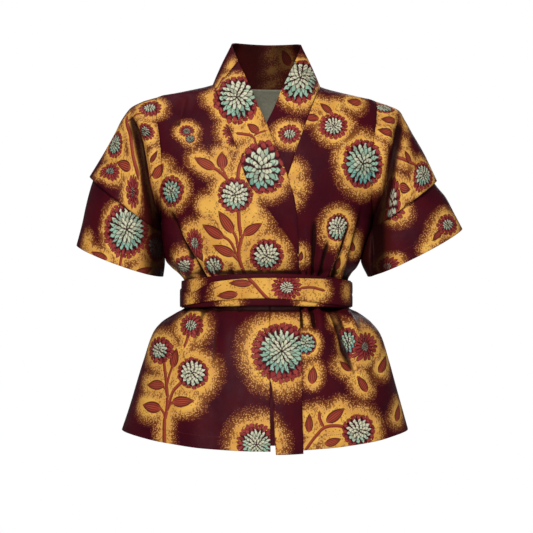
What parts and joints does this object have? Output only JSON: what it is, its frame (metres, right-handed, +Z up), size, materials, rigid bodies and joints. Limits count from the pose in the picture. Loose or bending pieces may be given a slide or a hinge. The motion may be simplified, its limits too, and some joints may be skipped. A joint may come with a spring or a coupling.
{
  "type": "belted wrap jacket",
  "caption": "Short belted wrap jacket with a standing band collar, layered short sleeves and a flared skirt, hollow as worn.",
  "frame": {"origin": "middle of the neck, level with the high points of the shoulders", "axes": "+Z up, the front faces -Y, +X is the wearer's left"},
  "size_m": [0.6514, 0.3335, 0.6827],
  "materials": {
    "printed_cotton": "satiny printed cotton, burgundy, gold, brick red and mint",
    "belt_cotton": "satiny printed cotton, as the body",
    "facing_cotton": "plain matt olive cotton"
  },
  "bodies": {
    "root": {"back": "printed_cotton", "front_right": "printed_cotton", "front_left": "printed_cotton", "neck_band": "printed_cotton", "band_right": "printed_cotton", "band_left": "printed_cotton", "band_right_lower": "printed_cotton", "sleeve_right_upper": "printed_cotton", "sleeve_right_lower": "printed_cotton", "sleeve_left_upper": "printed_cotton", "sleeve_left_lower": "printed_cotton", "belt_under": "belt_cotton", "belt_over": "belt_cotton", "back_facing": "facing_cotton"}
  },
  "joints": []
}
